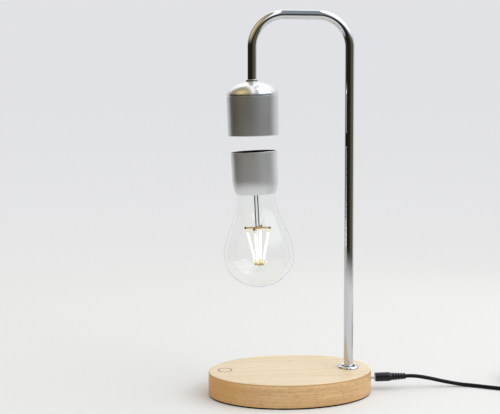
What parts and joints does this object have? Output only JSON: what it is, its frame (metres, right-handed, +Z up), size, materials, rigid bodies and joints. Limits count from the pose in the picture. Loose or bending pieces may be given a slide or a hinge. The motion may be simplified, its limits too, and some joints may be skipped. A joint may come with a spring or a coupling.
{
  "type": "levitating bulb lamp",
  "caption": "Table lamp with an oval wooden foot and a bent chrome arm; an electromagnet in the arm's head holds a clear bulb that floats and turns freely below it.",
  "frame": {"origin": "on the table under the middle of the oval foot", "axes": "+Z up, +X along the foot's long axis towards the post and the power socket, +Y across the foot, away from the viewer"},
  "size_m": [0.4363, 0.11, 0.382],
  "materials": {
    "wood": "pale oiled beech with fine straight grain, darker on the edge",
    "inlay": "dark brown line, flush with the wood",
    "chrome": "mirror chrome plating",
    "satin_metal": "satin nickel finish, finely brushed round",
    "black_plastic": "fine matte moulded",
    "foot_rubber": "matte",
    "circuit_board": "green solder mask",
    "steel": "zinc or nickel plated",
    "copper": "enamelled copper",
    "iron": "plain soft iron",
    "white_plastic": "matte",
    "wire": "insulated wire",
    "glass": "clear blown glass",
    "brass": "bright wire",
    "filament": "warm white glowing rod",
    "plated_brass": "nickel plated",
    "cord_jacket": "semi-matte flexible jacket",
    "tie": "soft black band",
    "adapter_case": "fine moulded texture"
  },
  "bodies": {
    "stand": {"wood_base": "wood", "touch_ring": "inlay", "touch_pad": "copper", "touch_lead": "wire", "bottom_plate": "black_plastic", "plate_screws": "steel", "rubber_foot_1": "foot_rubber", "rubber_foot_2": "foot_rubber", "rubber_foot_3": "foot_rubber", "rubber_foot_4": "foot_rubber", "control_board": "circuit_board", "board_screws": "steel", "dc_jack": "black_plastic", "jack_leads": "wire", "post_flange": "chrome", "post_washer": "steel", "post_nut": "steel", "arm_tube": "chrome", "head_cable": "wire", "head_collar": "chrome", "head_dome": "chrome", "head_nut": "steel", "head_shell": "satin_metal", "head_board": "circuit_board", "board_spacers": "white_plastic", "magnet_yoke": "iron", "magnet_core": "iron", "coil_bobbin": "black_plastic", "magnet_winding": "copper", "hall_sensor": "black_plastic", "power_coil": "copper", "head_face": "black_plastic"},
    "float_magnet": {"float_magnet": "steel"},
    "bulb": {"bulb_cap": "satin_metal", "cap_lid": "black_plastic", "magnet_cup": "black_plastic", "receiver_coil": "copper", "bulb_board": "circuit_board", "neck_cement": "white_plastic", "glass_envelope": "glass", "glass_stem": "glass", "filament_spider": "brass", "filament_hub": "brass", "led_filament_1": "filament", "led_filament_2": "filament", "led_filament_3": "filament", "led_filament_4": "filament"},
    "power_lead": {"plug_barrel": "plated_brass", "plug_body": "cord_jacket", "power_cord": "cord_jacket", "cord_coil": "cord_jacket", "cord_tie": "tie", "adapter_relief": "cord_jacket", "adapter_body": "adapter_case", "adapter_pins": "plated_brass"}
  },
  "joints": [
    {"name": "float_lift", "type": "slide", "parent": "stand", "child": "float_magnet", "axis": [-0.0262, 0, 0.9997], "range_m": [-0.075, 0.0145], "stiffness_N_per_m": 250, "springref_m": 0.00538},
    {"name": "bulb_spin", "type": "hinge", "parent": "float_magnet", "child": "bulb", "pos_m": [-0.0367, 0, 0.24257], "axis": [-0.0506, 0, 0.9987], "continuous": true},
    {"name": "plug_pull", "type": "slide", "parent": "stand", "child": "power_lead", "axis": [1, 0, 0], "range_m": [-0.005, 0.012]}
  ]
}
